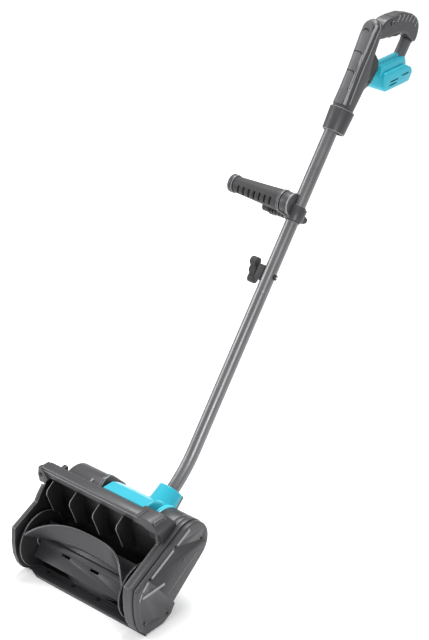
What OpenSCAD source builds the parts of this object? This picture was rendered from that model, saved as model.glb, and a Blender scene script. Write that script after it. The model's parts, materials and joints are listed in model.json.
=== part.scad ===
// Battery snow blower: a belt-driven rotor in a scoop-shaped head, pushed on a long two-piece tube
// with a side grip and a closed rear handle that carries an empty battery bay.
// +X is the width, with the belt drive on the right. The scoop opens towards -Y and the tube leans
// back towards +Y. Z = 0 is the ground, and the origin is below the middle of the whole machine.

/* [Head] */
// Length of the rotor between the outer faces of its discs
rotor_w = 276; // [240:2:300]
// Diameter of the rotor discs
rotor_d = 124; // [110:1:126]
// Inside width of the scoop
scoop_w = 300; // [284:2:320]
// Wall of the scoop and of the moulded covers
wall = 3; // [2:0.5:4]
// Height of the rotor shaft above the ground
axle_z = 68; // [66:0.5:72]
// Thickness of the left side plate
plate_t = 10; // [6:1:14]

/* [Belt drive] */
// Distance of the motor shaft behind the rotor shaft
motor_y = 100; // [96:1:106]
// Height of the motor shaft above the rotor shaft
motor_z = 77; // [72:1:84]
// Outer radius of the round drive case
case_r = 50; // [48:1:52]
// Radius of the large pulley on the rotor
driven_r = 33; // [28:1:36]
// Radius of the small pulley on the motor
drive_r = 11; // [9:0.5:13]
// Thickness of the belt
belt_t = 3; // [2:0.5:4]
// Width of the belt
belt_w = 10; // [8:1:12]

/* [Tube] */
// Outer diameter of both tubes
tube_d = 28; // [26:1:30]
// Wall of the tubes
tube_t = 1.5; // [1:0.25:2]
// Lean of the straight tube above the horizontal
lean = 53; // [50:1:56]
// Lean of the tube where it enters the head
foot_lean = 35.5; // [32:0.5:40]
// Radius of the bend above the head
bend_r = 280; // [240:10:320]
// Sideways place of the tube from the middle of the rotor
tube_x = 75; // [70:1:80]
// Distance along the straight tube to the split
split_s = 347; // [330:1:360]
// Distance along the straight tube to the lower end of the handle
handle_s = 700; // [680:5:740]

/* [Side grip] */
// Distance along the straight tube to the clamp of the side grip
clamp_s = 517; // [500:1:560]
// Length of the side grip
grip_len = 136; // [110:2:140]
// Diameter of the side grip at the clamp
grip_d1 = 46; // [42:1:48]
// Diameter of the side grip at its free end
grip_d2 = 34; // [30:1:38]

/* [Rear handle] */
// Width of the handle body
body_w = 38; // [36:1:44]
// Distance from the tube back to the rear post of the loop
post_r = 119; // [114:1:122]
// Width of the battery housing
bay_w = 50; // [46:1:56]

/* [Hidden] */

$fn = 64;
dark = "#4a4a4e";
black = "#26262a";
teal = "#2fb6d2";
steel = "#9a9da2";

plate_x = scoop_w / 2;
cover_x0 = plate_x + 12.3;
cover_x1 = plate_x + 38;
rotor_r = rotor_d / 2;
scoop_ri = axle_z - wall;
case_x0 = 111;
// places of the grip and of the clamp screw around the tube
grip_y = -16;
grip_z = 15;
screw_y = 24;
screw_z = -4;
// pin that the trigger swings on
pin_r = 42;
pin_s = 934;
// half the whole width and depth, which put the origin below the middle
head_x = (plate_x + plate_t - cover_x1) / 2;
head_y = -431.12;

// point where the bend ends and the straight tube begins, from the rotor shaft
foot_y = 172;
foot_z = 130;
bend_y = foot_y + bend_r * (sin(lean) - sin(foot_lean));
bend_z = foot_z + bend_r * (cos(foot_lean) - cos(lean));

// ---- placing -------------------------------------------------------------------------------

// middle of the rotor shaft
module at_axle() translate([head_x, head_y, axle_z]) children();
module at_motor() at_axle() translate([0, motor_y, motor_z]) children();
// a distance along the straight tube: z runs up the tube and y points back and down
module at_tube(s) at_axle() translate([tube_x, bend_y, bend_z]) rotate([lean - 90, 0, 0])
    translate([0, 0, s]) children();
// a level frame behind the handle: y points straight back
module at_bay() at_tube(860) translate([0, 60, 0]) rotate([90 - lean, 0, 0]) children();
// a side view, drawn as [y, z], given a width from x0 to x1
module side(x0, x1) translate([x0, 0, 0]) rotate([90, 0, 90]) linear_extrude(x1 - x0) children();
// a round bar from x0 to x1
module rod(x0, x1, r) translate([x0, 0, 0]) rotate([0, 90, 0]) cylinder(r = r, h = x1 - x0);

// ---- outlines ------------------------------------------------------------------------------

// right side of the head: nose, ground line and the round end over the motor shaft
module drive_outline(inset = 0) {
    r = case_r - inset;
    i = inset;
    polygon([[-37 + i, -axle_z + i], [-48 + i, 12 - axle_z + i / 2], [-57 + i, 32 - axle_z],
        [-62 + i, 60 - axle_z], [-63 + i, 90 - axle_z], [-60 + i, 115 - axle_z - i / 2],
        [motor_y - r * 0.47, motor_z + r * 0.883], [motor_y, motor_z],
        [motor_y + r * 0.616, motor_z - r * 0.788], [49 - i / 2, 39 - axle_z + i / 2],
        [37 - i / 2, 14 - axle_z + i / 2], [13 - i / 2, -axle_z + i]]);
    translate([motor_y, motor_z]) circle(r = r);
}

// left side of the head, up to the flange
module plate_outline() {
    polygon([[-30, 2 - axle_z], [-43, 11 - axle_z], [-53, 27 - axle_z], [-61, 52 - axle_z],
        [-63, 80 - axle_z], [-60, 115 - axle_z], [5, 146 - axle_z], [14, 160 - axle_z],
        [30.2, 178 - axle_z], [30.2, 214 - axle_z], [46, 214 - axle_z], [66, 186 - axle_z],
        [96, 190 - axle_z], [100, 120 - axle_z], [68, 60 - axle_z], [40, 14 - axle_z],
        [10, 2 - axle_z]]);
}

// curved wall of the scoop: a quarter round under and behind the rotor, then straight up
module scoop_profile() {
    outer = scoop_ri + wall;
    up = 135 * [cos(100), sin(100)];
    polygon(concat(arc(outer, -90, 10), [outer * [cos(10), sin(10)] + up],
        [scoop_ri * [cos(10), sin(10)] + up], arc(scoop_ri, 10, -90),
        [[-6, -scoop_ri], [-6, -outer]]));
}

// points along an arc
function arc(r, a0, a1, n = 36) = [for (i = [0:n]) let (a = a0 + (a1 - a0) * i / n) r * [cos(a), sin(a)]];

// everything in front of the scoop's straight wall, which the covers behind it are cut back to
module in_front(x0, x1) at_axle() side(x0, x1) rotate(10)
    translate([-200, -80]) square([200 + scoop_ri + wall + 0.2, 330]);

// flat bar with a round end at each side
module slot(len, r) {
    translate([-len / 2, 0]) circle(r = r);
    translate([len / 2, 0]) circle(r = r);
    square([len, 2 * r], center = true);
}

// angle between the line of centres and the points where the belt leaves the pulleys
function leave_angle() = acos((driven_r - drive_r) / norm([motor_y, motor_z]));
function belt_lean() = atan2(motor_z, motor_y);

// area that a loop round both pulleys encloses, at a distance gap from their rims
module belt_loop(gap) {
    t = leave_angle();
    a = belt_lean();
    polygon(concat(arc(driven_r + gap, a + t, a + 360 - t),
        [for (p = arc(drive_r + gap, a - t, a + t, 20)) p + [motor_y, motor_z]]));
}

// belt as seen from the side, in tension round both pulleys
module belt_outline() difference() {
    belt_loop(0.3 + belt_t);
    belt_loop(0.3);
}

// room that the belt and both pulleys need
module belt_room(gap) {
    circle(r = driven_r + gap);
    translate([motor_y, motor_z]) circle(r = driven_r);
    rotate(belt_lean()) translate([0, -driven_r]) square([norm([motor_y, motor_z]), 2 * driven_r]);
}

// ---- head ----------------------------------------------------------------------------------

// one-piece curved wall behind and below the rotor
module scoop_shell() color(dark) at_axle() side(-plate_x + 0.05, plate_x - 0.05) scoop_profile();

module side_plate_left() color(dark) at_axle() difference() {
    side(-plate_x - plate_t, -plate_x) plate_outline();
    rod(-plate_x - 7, -plate_x + 1, 13);
    rod(-plate_x - plate_t - 1, -plate_x, 6);
    // lightening hollow on the outside leaves a rim and a web
    side(-plate_x - plate_t - 1, -plate_x - 4) difference() {
        translate([3, -3]) scale(0.86) plate_outline();
        circle(r = 22);
        translate([motor_y, motor_z]) circle(r = 30);
    }
}

module side_plate_right() color(dark) at_axle() difference() {
    union() {
        side(plate_x, plate_x + 12) drive_outline();
        // web that carries the end of the flange
        side(plate_x, plate_x + 5) polygon([[34, 155 - axle_z], [31, 190 - axle_z],
            [25, 222 - axle_z], [52, 222 - axle_z], [72, 196 - axle_z], [90, 180 - axle_z]]);
    }
    rod(plate_x - 1, plate_x + 7, 13);
    rod(plate_x - 1, plate_x + 13, 9);
    translate([0, motor_y, motor_z]) rod(plate_x - 1, plate_x + 13, case_r - wall);
    // room for the belt
    side(plate_x + 8.5, plate_x + 13) belt_room(8);
    strip_step();
}

// step in the lower front corner of the drive side, where the scraper strip runs past
module strip_step() side(plate_x - 1, cover_x1 + 1) translate([-50, -axle_z - 1]) square([13.8, 4.3]);

// stiff bar over the mouth of the scoop, with an ear at its left end
module top_flange() color(dark) at_axle() difference() {
    union() {
        side(-plate_x, plate_x - 0.3) polygon([[23, 221 - axle_z], [50, 221 - axle_z],
            [50, 213 - axle_z], [35, 213 - axle_z], [33, 202 - axle_z], [26, 202 - axle_z]]);
        translate([0, 30, 0]) rotate([90, 0, 0]) linear_extrude(10) polygon([
            [-plate_x, 222 - axle_z], [-plate_x - plate_t + 2, 222 - axle_z],
            [-plate_x - plate_t, 206 - axle_z], [-plate_x - 7, 188 - axle_z],
            [-plate_x + 8, 188 - axle_z], [-plate_x + 16, 200 - axle_z]]);
    }
    translate([-plate_x - 4, 40, 204 - axle_z]) rotate([90, 0, 0]) cylinder(r = 2.6, h = 30);
}

// replaceable strip along the ground at the mouth
module scraper_bar() color(dark) at_axle() difference() {
    translate([0, 0, -axle_z]) linear_extrude(wall) polygon([[-plate_x + 8, -28],
        [-plate_x + 34, -39], [plate_x + 33, -39], [plate_x + 37, -36.5], [plate_x - 0.1, -36.5],
        [plate_x - 0.1, -6.1], [-plate_x + 0.1, -6.1], [-plate_x + 0.1, -28]]);
    // bevelled front edge
    translate([-200, -39, -axle_z + 1]) rotate([35, 0, 0]) cube([400, 12, 6]);
    for (x = [-105, -35, 35, 105])
        translate([x, -16, -axle_z - 1]) cylinder(r = 2.1, h = 6);
}

module scraper_screws() color(steel) at_axle() for (x = [-105, -35, 35, 105])
    translate([x, -16, -axle_z + 0.4]) {
        cylinder(r = 2, h = 4);
        translate([0, 0, 2.7]) cylinder(r = 4, h = 1.6);
    }

// four upright blades that turn the snow forwards
module deflector_vanes() color(black) at_axle() for (i = [0:3])
    side(-121 + 64 * i, -118.5 + 64 * i) polygon([[35, 127], [3, 113], [21, 61.5],
        [45, 46.5], [58.2, 42], [43.3, 127]]);

// ---- motor and covers ----------------------------------------------------------------------

module motor_housing() color(dark) difference() {
    at_motor() rod(-134, -63, 52);
    at_motor() rod(-131, -62, 49);
    // the flat side leans on the back of the scoop
    in_front(-140, -50);
}

// wall that closes the motor housing beside the socket cover
module motor_end_cap() color(dark) difference() {
    at_motor() rod(-62.7, -55, 52);
    at_motor() rod(-63, -54, 12);
    in_front(-70, -50);
}

// coloured upper half that carries the tube socket
module socket_cover() color(teal) difference() {
    socket_half(49.5, 35, 29, 81, -69.9);
    in_front(-60, 120);
}

module socket_base() color(dark) difference() {
    socket_half(49, 34, 28, 80, 0);
    in_front(-60, 120);
}

// half of the drum and boss that hold the tube, parted along the tube; drop is where the part
// that belongs to the other half begins
module socket_half(r, boss_r0, boss_r1, boss_h, drop) at_motor() difference() {
    union() {
        rod(-54.7, 110.8, r);
        on_foot_line() cylinder(r1 = boss_r0, r2 = boss_r1, h = boss_h);
    }
    rod(-51, 107.5, 45.5);
    // hole for the motor shaft in the right end
    rod(100, 112, 8);
    rotate([foot_lean, 0, 0]) translate([-60, -60, drop]) cube([180, 160, 70]);
    on_foot_line() cylinder(r = tube_d / 2 + 0.05, h = 90);
}

// line of the foot of the tube, from beside the motor shaft
module on_foot_line() translate([tube_x, foot_y - motor_y, foot_z - motor_z])
    rotate([foot_lean - 90, 0, 0])
        translate([0, 0, -norm([foot_y - motor_y, foot_z - motor_z])]) children();

// round drum between the socket and the right side plate
module belt_case() color(dark) difference() {
    at_motor() rod(case_x0, plate_x - 0.2, case_r);
    at_motor() rod(case_x0 + wall, plate_x, case_r - wall);
    at_motor() rod(case_x0 - 1, plate_x, 10);
    in_front(case_x0 - 5, plate_x + 1);
}

// outer lid over the belt, bevelled all round
module belt_cover() color(dark) at_axle() difference() {
    union() {
        side(cover_x0, cover_x1 - 8) drive_outline();
        side(cover_x1 - 8, cover_x1) drive_outline(7);
    }
    side(cover_x0 - 1, cover_x1 - 11) drive_outline(wall);
    strip_step();
    for (p = cover_holes()) translate([0, p[0], p[1]]) rod(cover_x1 - 4, cover_x1 + 1, 3.2);
}

function cover_holes() = [[-24, 58], [51, 97], [124, 81], [96, 34], [24, -46], [-42, -34]];

module belt_cover_screws() color(steel) at_axle() for (p = cover_holes())
    translate([0, p[0], p[1]]) rod(cover_x1 - 4, cover_x1 - 2, 2.9);

module flange_screws() color(steel) at_axle() translate([-plate_x - 4, 20, 204 - axle_z])
    rotate([-90, 0, 0]) {
        translate([0, 0, -1.8]) cylinder(r = 4.4, h = 1.8);
        translate([0, 0, -1]) cylinder(r = 2.5, h = 10);
    }

module motor_can() color(steel) at_motor() difference() {
    rod(-50, 62, 29);
    rod(-51, 63, 4.05);
}

module motor_plate() color(steel) at_motor() difference() {
    rod(62.2, 66, 43.2);
    rod(62, 67, 12);
    for (a = [45:90:315]) rotate([a, 0, 0]) translate([0, 22, 0]) rod(62, 67, 2.2);
}

module motor_shaft() color(steel) at_motor() rod(-48, cover_x0 + 12, 4);

// small pulley, flanged to hold the belt
module drive_pulley() color(black) at_motor() difference() {
    union() {
        rod(cover_x0, cover_x0 + belt_w, drive_r);
        rod(cover_x0 - 1.5, cover_x0, drive_r + 3.5);
        rod(cover_x0 + belt_w, cover_x0 + belt_w + 1.2, drive_r + 3.5);
    }
    rod(cover_x0 - 2, cover_x0 + belt_w + 2, 4);
}

module driven_pulley() color(black) at_axle() difference() {
    rod(cover_x0, cover_x0 + belt_w, driven_r);
    rod(cover_x0 - 1, cover_x0 + belt_w + 1, 5);
    for (a = [0:60:300]) rotate([a, 0, 0]) translate([0, 19, 0])
        rod(cover_x0 - 1, cover_x0 + belt_w + 1, 6.5);
}

module drive_belt() color(black) at_axle() side(cover_x0 + 0.5, cover_x0 + belt_w - 0.5)
    belt_outline();

// ---- rotor ---------------------------------------------------------------------------------

module rotor_shaft() color(steel) at_axle() rod(-plate_x - 5, cover_x0 + belt_w, 5);

module rotor_disc(x0) difference() {
    union() {
        rod(x0, x0 + 3, rotor_r);
        rod(x0 - 1, x0 + 4, 14);
    }
    rod(x0 - 2, x0 + 5, 5);
}

module rotor_disc_left() color(dark) at_axle() rotor_disc(-rotor_w / 2);
module rotor_disc_right() color(dark) at_axle() rotor_disc(rotor_w / 2 - 3);

// angle of the arched blade at a distance x from the middle
function arch_angle(x) = 80 + 70 * pow(abs(x) / (rotor_w / 2), 2.6);
// inner radius of the arched blade, which leaves a window over the flat bar
function arch_inner(x) = 10 + 12 * (1 - pow(x / (rotor_w / 2), 2));

// one arched blade: radial strips whose angle grows towards the discs
module arch_blade() {
    n = 24;
    t = 1.5;
    r1 = rotor_r - 1;
    half = rotor_w / 2 - 3.1;
    xs = [for (i = [0:n]) half * (2 * i / n - 1)];
    function pt(x, r, s) = [x, r * cos(arch_angle(x)) - s * sin(arch_angle(x)),
        r * sin(arch_angle(x)) + s * cos(arch_angle(x))];
    pts = [for (x = xs) each [pt(x, arch_inner(x), -t), pt(x, r1, -t), pt(x, r1, t),
        pt(x, arch_inner(x), t)]];
    sides = [for (i = [0:n - 1]) for (k = [0:3])
        [4 * i + k, 4 * i + (k + 1) % 4, 4 * i + 4 + (k + 1) % 4, 4 * i + 4 + k]];
    polyhedron(pts, concat(sides, [[3, 2, 1, 0], [4 * n, 4 * n + 1, 4 * n + 2, 4 * n + 3]]),
        convexity = 6);
}

module rotor_scoops() color(dark) at_axle() for (a = [0, 180]) rotate([a, 0, 0]) arch_blade();

// flat bar along the shaft with two slots
module rotor_paddle() color(dark) at_axle() rotate([51, 0, 0]) difference() {
    union() {
        translate([-rotor_w / 2 + 4.3, -40, -2]) cube([rotor_w - 8.6, 80, 4]);
        rod(-rotor_w / 2 + 4.2, rotor_w / 2 - 4.2, 7);
    }
    rod(-rotor_w / 2, rotor_w / 2, 5);
    for (x = [-60, 20]) translate([x, -11, 0]) cube([24, 6, 10], center = true);
}

module ring(x0, x1, ro, ri) difference() {
    rod(x0, x1, ro);
    rod(x0 - 1, x1 + 1, ri);
}

module bearing_left() color(steel) at_axle() ring(-plate_x - 6.9, -plate_x, 12.95, 5.05);
module bearing_right() color(steel) at_axle() ring(plate_x, plate_x + 6.9, 12.95, 5.05);

// ---- tube ----------------------------------------------------------------------------------

module straight_tube(s0, s1, r) at_tube(s0) difference() {
    cylinder(r = r, h = s1 - s0);
    translate([0, 0, -1]) cylinder(r = r - tube_t, h = s1 - s0 + 2);
}

// bent tube from the socket in the head to the split
module lower_tube() color(dark) difference() {
    tube_path(tube_d / 2, 0);
    tube_path(tube_d / 2 - tube_t, 1);
}

// straight foot, bend and long straight of the lower tube, as one solid bar
module tube_path(r, extra) {
    at_tube(-0.3) cylinder(r = r, h = split_s + 0.3 + extra);
    tube_bend(r);
    at_axle() translate([tube_x, foot_y, foot_z]) rotate([foot_lean - 90, 0, 0])
        translate([0, 0, -36 - extra]) cylinder(r = r, h = 36.3 + extra);
}

// solid of the bend above the head
module tube_bend(r, out = 0) at_axle()
    translate([tube_x, bend_y - bend_r * sin(lean), bend_z + bend_r * cos(lean)])
        rotate([90, 0, 90]) rotate(foot_lean - 90)
            rotate_extrude(angle = lean - foot_lean, $fn = 128)
                translate([bend_r + out, 0]) circle(r = r);

module tube_spigot() color(steel) difference() {
    straight_tube(split_s - 35, split_s + 65, tube_d / 2 - tube_t - 0.05);
    at_tube(split_s + 35) rod(-20, 20, 3.1);
}

module upper_tube() color(dark) difference() {
    straight_tube(split_s + 0.4, 840, tube_d / 2);
    at_tube(split_s + 35) rod(-20, 20, 3.1);
}

module joint_bolt() color(steel) at_tube(split_s + 35) rod(-41.5, 20, 3);

module joint_nut() color(steel) at_tube(split_s + 35) difference() {
    rotate([0, 90, 0]) translate([0, 0, 13.5]) cylinder(r = 5.8, h = 5.5, $fn = 6);
    rod(10, 22, 3.05);
    translate([0, 0, -20]) cylinder(d = tube_d + 0.1, h = 40);
}

// saddle that spreads the pull of the knob on the tube
module joint_saddle() color(black) at_tube(split_s + 35) difference() {
    translate([-25, -12, -16]) cube([15, 24, 32]);
    translate([0, 0, -20]) cylinder(d = tube_d + 0.1, h = 40);
    rod(-30, 0, 3.1);
}

// two-lobed hand knob
module wing_knob(x0, span, turn) difference() {
    rotate([turn, 0, 0]) union() {
        rod(x0, x0 + 18, 9);
        side(x0 + 1, x0 + 15) rotate(90) slot(span - 20, 6);
        for (k = [-1, 1]) translate([0, 0, k * (span / 2 - 10)]) rod(x0, x0 + 16, 10);
    }
    rod(x0 + 6, x0 + 19, 3.05);
}

module joint_knob() color(black) at_tube(split_s + 35) wing_knob(-48, 56, 24);

// cable inside the tube, from the handle down to the motor, beside the bolt of the joint
module power_cable() color(black) {
    at_tube(-0.3) translate([0, 7.5, 0]) cylinder(r = 3, h = 848);
    tube_bend(2.95, 7.5);
}

// ---- side grip -----------------------------------------------------------------------------

// plastic liner that lets the clamp slide and swing on the tube
module clamp_liner() color(black) at_tube(clamp_s - 18) difference() {
    cylinder(r = tube_d / 2 + 2, h = 36);
    translate([0, 0, -1]) cylinder(r = tube_d / 2 + 0.05, h = 38);
}

module clamp_half() difference() {
    cylinder(r = tube_d / 2 + 6, h = 28, center = true);
    cylinder(r = tube_d / 2 + 2.05, h = 40, center = true);
}

// half of the clamp towards the grip, with the arm and the round hub
module clamp_body() color(dark) at_tube(clamp_s) difference() {
    union() {
        difference() {
            clamp_half();
            translate([-0.2, -40, -20]) cube([60, 80, 40]);
        }
        translate([-23.8, -24, -10]) cube([9.8, 24, 14]);
        translate([0, grip_y, grip_z]) rod(-22, -1, grip_d1 / 2);
        // ribbed tube of the clamp screw
        translate([0, screw_y, screw_z]) {
            rod(-66, -0.2, 7.5);
            for (i = [0:4]) rod(-64 + 9 * i, -60 + 9 * i, 10);
        }
    }
    cylinder(r = tube_d / 2 + 2.05, h = 100, center = true);
    translate([0, screw_y, screw_z]) rod(-70, 20, 3.1);
}

// opposite half of the clamp
module clamp_cap() color(dark) at_tube(clamp_s) difference() {
    union() {
        difference() {
            clamp_half();
            translate([-60, -40, -20]) cube([60.2, 80, 40]);
        }
        translate([0, screw_y, screw_z]) rod(0.2, 9, 8);
    }
    cylinder(r = tube_d / 2 + 2.05, h = 100, center = true);
    translate([0, screw_y, screw_z]) rod(-70, 20, 3.1);
}

module clamp_bolt() color(steel) at_tube(clamp_s) translate([0, screw_y, screw_z]) {
    rod(-79.5, 9.5, 3);
    rod(9.1, 13, 6);
}

module clamp_knob() color(black) at_tube(clamp_s) translate([0, screw_y, screw_z])
    wing_knob(-86, 46, 90);

module grip_axis() at_tube(clamp_s) translate([12, grip_y, grip_z]) children();

module grip_core() color(black) grip_axis() difference() {
    rod(-34 - grip_len, -34.2, 9);
    rod(-40 - grip_len, -60, 5);
}

module grip_sleeve() color(black) grip_axis() difference() {
    translate([-36 - grip_len + 8, 0, 0]) rotate([0, 90, 0])
        cylinder(d1 = grip_d2, d2 = grip_d1, h = grip_len - 8);
    rod(-50 - grip_len, 0, 9);
    // row of slots along the lower front
    for (i = [0:6]) translate([-60 - 14.5 * i, -16, -10]) rotate([0, 12, 0])
        cube([5, 22, 15], center = true);
}

module grip_end_cap() color(dark) grip_axis() difference() {
    union() {
        rod(-39.5 - grip_len, -36 - grip_len + 7.8, grip_d2 / 2 + 2.5);
        rod(-42 - grip_len, -39.5 - grip_len, grip_d2 / 2 - 2);
    }
    rod(-35 - grip_len, 0, 9);
}

// ---- rear handle ---------------------------------------------------------------------------

// outline of the handle body, seen from the side as [back, up the tube]
module body_outline(inset = 0) {
    i = inset;
    polygon([[-15 + i, 750 + i], [-14 + i, 790], [-17 + i, 850], [-22 + i, 905], [-22 + i, 930 - i],
        [-16 + i / 2, 942 - i], [-3, 948 - i], [7 - i, 938], [12 - i, 905], [18 - i, 872],
        [27 - i, 845], [38 - i, 826], [32 - i, 800], [32 - i, 778], [28 - i, 758], [28 - i, 750 + i]]);
}

// upper bar of the loop, from the body to the rear post
module bar_outline() {
    polygon([[2, 905], [30, 918], [58, 941], [90, 954], [110, 954], [134, 952], [135, 962],
        [131, 974], [123, 987], [112, 994], [92, 994], [58, 983], [22, 963], [2, 945]]);
}

module body_shell(x0, x1) {
    side(x0, x1) body_outline();
}

module handle_room() {
    side(-body_w / 2 + wall, body_w / 2 - wall) body_outline(wall);
    translate([0, 0, 740]) cylinder(d = tube_d + 0.1, h = 101);
}

module handle_collar() color(dark) at_tube(0) difference() {
    translate([0, 7, handle_s]) cylinder(r1 = 24, r2 = 26.5, h = 49.8);
    translate([0, 0, handle_s - 1]) cylinder(d = tube_d + 0.1, h = 60);
    translate([0, 7, handle_s - 1]) cylinder(r = 21.5, h = 7);
}

module handle_shell_left() color(dark) at_tube(0) difference() {
    union() {
        body_shell(-body_w / 2, -0.05);
        side(-15, -0.05) bar_outline();
    }
    handle_room();
    trigger_room();
    post_socket();
}

module handle_shell_right() color(dark) at_tube(0) difference() {
    union() {
        body_shell(0.05, body_w / 2);
        side(0.05, 15) bar_outline();
    }
    handle_room();
    trigger_room();
    post_socket();
    for (p = screw_places()) translate([0, p[0], p[1]]) rod(body_w / 2 - 3, 30, 3);
}

// socket in the end of the bar for the post
module post_socket() translate([0, post_r, 914]) rotate([-2, 0, 0]) cylinder(r = 12.6, h = 42.3);

// pocket in the underside of the bar for the trigger, and the switch above it
module trigger_room() {
    side(-6.5, 6.5) polygon([[33, 912], [33, 942], [38, 950], [78, 974], [88, 960], [88, 940],
        [60, 920], [45, 912]]);
    translate([0, 30, 953]) rod(-30, 30, 5.3);
    // holes for the pin of the trigger
    translate([0, pin_r, pin_s]) rod(-9.5, 9.5, 2.05);
}

function screw_places() = [[2, 768], [30, 824], [-12, 926]];

// soft front panel with overlapping scales
module front_panel() color("#5a5a5e") at_tube(0) difference() {
    side(-17, 17) polygon([[-15.2, 756], [-14.2, 790], [-17.2, 850], [-22.2, 905], [-22.2, 926],
        [-25, 924], [-24.5, 868], [-21.5, 864], [-21, 828], [-17.5, 824], [-17, 760]]);
    translate([-1, -40, 909]) cube([18, 20, 3]);
}

// ribbed soft cover over the top of the bar
module loop_grip() color(black) at_tube(0) side(-13, 13) polygon([[28, 966.9],
    [58, 983.3], [92, 994.3], [112, 994.3], [112, 997], [92, 997], [58, 986], [28, 969.6]]);

module rear_post() color(dark) at_post() difference() {
    translate([0, 0, -14]) cylinder(r = 12.5, h = 56);
    translate([0, 0, -15]) cylinder(r = 9, h = 60);
}

// lower end of the post
module at_post() at_tube(914) translate([0, post_r, 0]) rotate([-2, 0, 0]) children();

// battery bay: a level spine joined to the body and the post, with a box that is open below
module battery_housing() color(teal) difference() {
    at_bay() {
        side(-15, 15) polygon([[-12, -16], [-8, 2], [-2, 14], [62, 15], [74, 10], [84, -10]]);
        side(-bay_w / 2, bay_w / 2) polygon([[2, -47], [-4, -37], [0, -8], [76, -8], [94, -18],
            [96, -30], [84, -47]]);
    }
    at_bay() translate([-bay_w / 2 + wall, 11, -50]) cube([bay_w - 2 * wall, 72, 36]);
    at_post() translate([0, 0, -14.3]) cylinder(r = 12.6, h = 80);
    at_tube(0) side(-40, 40) body_outline(-0.2);
}

// rails that a slide-on pack runs along
module bay_rails() color(black) at_bay() for (k = [-1, 1])
    translate([k * (bay_w / 2 - wall - 2.6) - 2.5, 11.5, -30]) cube([5, 71, 4]);

module terminal_block() color(black) at_bay() {
    translate([-15, 11.2, -27]) cube([30, 16, 12.8]);
    for (x = [-9, 0, 9]) translate([x - 0.6, 27, -25]) cube([1.2, 14, 7]);
}

// ---- controls ------------------------------------------------------------------------------

module trigger() color(black) at_tube(0) {
    side(-6, 6) polygon([[38, 930], [43, 925], [50, 926.5], [60, 933.5], [72, 938.5], [80, 945],
        [82, 951], [76, 958], [40, 941], [36, 937]]);
    translate([0, pin_r, pin_s]) rod(-9, 9, 2);
}

module trigger_spring() color(steel) at_tube(0) translate([0, 62, 958.4]) cylinder(r = 2.6, h = 4);

module lock_button() color(black) at_tube(0) translate([0, 30, 953]) rod(-17.5, 17.5, 5);

module switch_body() color(black) at_tube(0) translate([-6, -12, 900]) cube([12, 13, 34]);

module control_board() color("#2c6b46") at_tube(0) translate([-13, 8.5, 852]) cube([26, 1.6, 34]);

module handle_screws() color(steel) at_tube(0) for (p = screw_places())
    translate([0, p[0], p[1]]) rod(body_w / 2 - 2.9, body_w / 2 - 1, 2.9);

scoop_shell();
side_plate_left();
side_plate_right();
top_flange();
scraper_bar();
scraper_screws();
deflector_vanes();
motor_housing();
motor_end_cap();
socket_cover();
socket_base();
belt_case();
belt_cover();
belt_cover_screws();
flange_screws();
motor_can();
motor_plate();
motor_shaft();
drive_pulley();
driven_pulley();
drive_belt();
rotor_shaft();
rotor_disc_left();
rotor_disc_right();
rotor_scoops();
rotor_paddle();
bearing_left();
bearing_right();
lower_tube();
tube_spigot();
upper_tube();
joint_bolt();
joint_nut();
joint_saddle();
joint_knob();
power_cable();
clamp_liner();
clamp_body();
clamp_cap();
clamp_bolt();
clamp_knob();
grip_core();
grip_sleeve();
grip_end_cap();
handle_collar();
handle_shell_left();
handle_shell_right();
front_panel();
loop_grip();
rear_post();
battery_housing();
bay_rails();
terminal_block();
trigger();
trigger_spring();
lock_button();
switch_body();
control_board();
handle_screws();
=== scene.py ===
# %% [markdown]
# # A battery snow blower, piece by piece
#
# The machine is a scoop-shaped head with a belt-driven rotor, a long bent tube, a sliding side
# grip and a closed rear handle with an empty battery bay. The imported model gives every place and
# every axis. This file makes the shapes that are seen, and their finishes.

import json
import math

import bpy
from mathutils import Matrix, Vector

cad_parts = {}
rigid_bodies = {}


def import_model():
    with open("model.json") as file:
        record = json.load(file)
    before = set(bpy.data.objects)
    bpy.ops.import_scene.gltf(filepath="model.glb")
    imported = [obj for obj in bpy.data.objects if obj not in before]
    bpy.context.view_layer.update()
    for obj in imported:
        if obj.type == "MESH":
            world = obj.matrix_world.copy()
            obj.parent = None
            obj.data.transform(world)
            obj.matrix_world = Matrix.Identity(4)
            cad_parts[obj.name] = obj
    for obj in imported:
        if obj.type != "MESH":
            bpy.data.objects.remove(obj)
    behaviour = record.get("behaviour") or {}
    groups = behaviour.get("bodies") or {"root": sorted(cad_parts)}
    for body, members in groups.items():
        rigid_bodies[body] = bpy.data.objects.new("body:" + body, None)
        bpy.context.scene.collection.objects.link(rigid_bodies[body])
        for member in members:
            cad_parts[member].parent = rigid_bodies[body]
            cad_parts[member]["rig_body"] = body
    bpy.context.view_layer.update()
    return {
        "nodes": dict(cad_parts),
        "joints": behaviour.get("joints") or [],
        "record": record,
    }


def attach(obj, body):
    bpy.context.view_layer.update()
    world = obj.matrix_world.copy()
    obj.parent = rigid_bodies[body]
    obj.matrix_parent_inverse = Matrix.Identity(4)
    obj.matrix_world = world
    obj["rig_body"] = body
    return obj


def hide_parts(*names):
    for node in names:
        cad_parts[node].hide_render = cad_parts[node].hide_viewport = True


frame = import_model()

# %% [markdown]
# Every place below is given in millimetres in one of four simple frames: the rotor shaft, the
# motor shaft, the straight tube, and the level bay behind the handle. Their origins and directions
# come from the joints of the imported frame.

# %% The four frames
MM = 0.001
joints = {j["name"]: j for j in frame["joints"]}
AXLE = Vector(joints["rotor_spin"]["pos_m"])
MOTOR = Vector(joints["motor_spin"]["pos_m"])
UP_TUBE = Vector(joints["grip_slide"]["axis"]).normalized()
OFF_TUBE = Vector((0, UP_TUBE.z, -UP_TUBE.y))
CLAMP_S = 517
BAY_S, BAY_BACK = 860, 60
TUBE_FOOT = Vector(joints["grip_swing"]["pos_m"]) - UP_TUBE * CLAMP_S * MM
BAY = TUBE_FOOT + UP_TUBE * BAY_S * MM + OFF_TUBE * BAY_BACK * MM


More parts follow.
